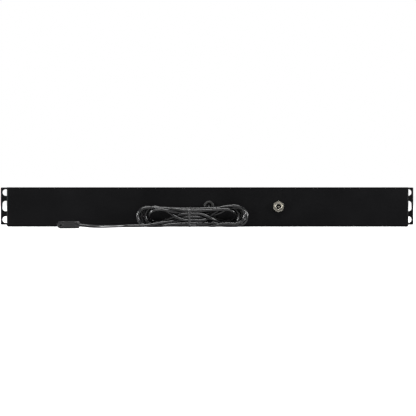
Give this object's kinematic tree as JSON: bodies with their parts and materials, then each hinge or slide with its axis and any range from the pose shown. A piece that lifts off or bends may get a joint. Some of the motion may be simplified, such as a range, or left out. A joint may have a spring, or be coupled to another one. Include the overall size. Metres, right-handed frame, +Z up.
{
  "type": "rack cooling unit",
  "caption": "Rack-mount cooling unit: slotted front panel with fans, display and buttons, closed steel case, low-voltage inlet and a temperature probe on a tied lead.",
  "frame": {"origin": "on the surface under the middle of the casing, between the tips of the buttons and the end of the inlet", "axes": "+Z up; X along the panel's width; -Y is the front, where the display is, and +Y the back, where the inlet and the lead are"},
  "size_m": [0.4826, 0.1415, 0.0435],
  "materials": {
    "panel_paint": "satin black",
    "case_paint": "fine textured black",
    "black_screw": "black oxide",
    "zinc_screw": "zinc plated",
    "nickel": "nickel plated",
    "fan_plastic": "moulded black",
    "window_plastic": "smoked red",
    "component_black": "moulded black",
    "board": "green solder mask",
    "button_plastic": "fine matt black",
    "rubber": "soft black",
    "terminal_plastic": "green nylon",
    "cable_sheath": "satin black",
    "tie_plastic": "grey plastic-coated wire",
    "probe_plastic": "satin black"
  },
  "bodies": {
    "casing": {"front_panel": "panel_paint", "chassis": "case_paint", "top_cover": "case_paint", "cover_screw_1": "black_screw", "cover_screw_2": "black_screw", "cover_screw_3": "black_screw", "cover_screw_4": "black_screw", "panel_screw_1": "black_screw", "panel_screw_2": "black_screw", "panel_screw_3": "black_screw", "panel_screw_4": "black_screw", "fan_1_frame": "fan_plastic", "fan_1_screw_1": "black_screw", "fan_1_screw_2": "black_screw", "fan_2_frame": "fan_plastic", "fan_2_screw_1": "black_screw", "fan_2_screw_2": "black_screw", "fan_3_frame": "fan_plastic", "fan_3_screw_1": "black_screw", "fan_3_screw_2": "black_screw", "fan_4_frame": "fan_plastic", "fan_4_screw_1": "black_screw", "fan_4_screw_2": "black_screw", "display_window": "window_plastic", "display_module": "component_black", "control_board": "board", "standoff_1": "nickel", "standoff_2": "nickel", "standoff_3": "nickel", "standoff_4": "nickel", "board_screw_1": "zinc_screw", "board_screw_2": "zinc_screw", "board_screw_3": "zinc_screw", "board_screw_4": "zinc_screw", "switch_1": "component_black", "switch_2": "component_black", "switch_3": "component_black", "power_inlet_body": "nickel", "power_inlet_pin": "nickel", "power_inlet_nut": "nickel", "cable_grommet": "rubber", "lead_stop_collar": "fan_plastic", "lead_inside": "cable_sheath", "terminal_strip": "terminal_plastic", "power_lead": "cable_sheath", "fan_harness_1": "cable_sheath", "fan_harness_2": "cable_sheath", "probe_lead": "cable_sheath", "probe_lead_hank": "cable_sheath", "wire_tie": "tie_plastic", "probe_lead_tail": "cable_sheath", "probe_body": "probe_plastic", "probe_collar": "probe_plastic"},
    "fan_1_rotor": {"fan_1_rotor": "fan_plastic"},
    "fan_2_rotor": {"fan_2_rotor": "fan_plastic"},
    "fan_3_rotor": {"fan_3_rotor": "fan_plastic"},
    "fan_4_rotor": {"fan_4_rotor": "fan_plastic"},
    "button_1": {"button_1": "button_plastic"},
    "button_2": {"button_2": "button_plastic"},
    "button_3": {"button_3": "button_plastic"}
  },
  "joints": [
    {"name": "fan_1_spin", "type": "hinge", "parent": "casing", "child": "fan_1_rotor", "pos_m": [-0.16, -0.0272, 0.02175], "axis": [0, 1, 0], "continuous": true},
    {"name": "fan_2_spin", "type": "hinge", "parent": "casing", "child": "fan_2_rotor", "pos_m": [-0.092, -0.0272, 0.02175], "axis": [0, 1, 0], "continuous": true},
    {"name": "fan_3_spin", "type": "hinge", "parent": "casing", "child": "fan_3_rotor", "pos_m": [0.092, -0.0272, 0.02175], "axis": [0, 1, 0], "continuous": true},
    {"name": "fan_4_spin", "type": "hinge", "parent": "casing", "child": "fan_4_rotor", "pos_m": [0.16, -0.0272, 0.02175], "axis": [0, 1, 0], "continuous": true},
    {"name": "button_1_press", "type": "slide", "parent": "casing", "child": "button_1", "axis": [0, 1, 0], "range_m": [0, 0.0008], "stiffness_N_per_m": 1200, "springref_m": -0.0005},
    {"name": "button_2_press", "type": "slide", "parent": "casing", "child": "button_2", "axis": [0, 1, 0], "range_m": [0, 0.0008], "stiffness_N_per_m": 1200, "springref_m": -0.0005},
    {"name": "button_3_press", "type": "slide", "parent": "casing", "child": "button_3", "axis": [0, 1, 0], "range_m": [0, 0.0008], "stiffness_N_per_m": 1200, "springref_m": -0.0005}
  ]
}
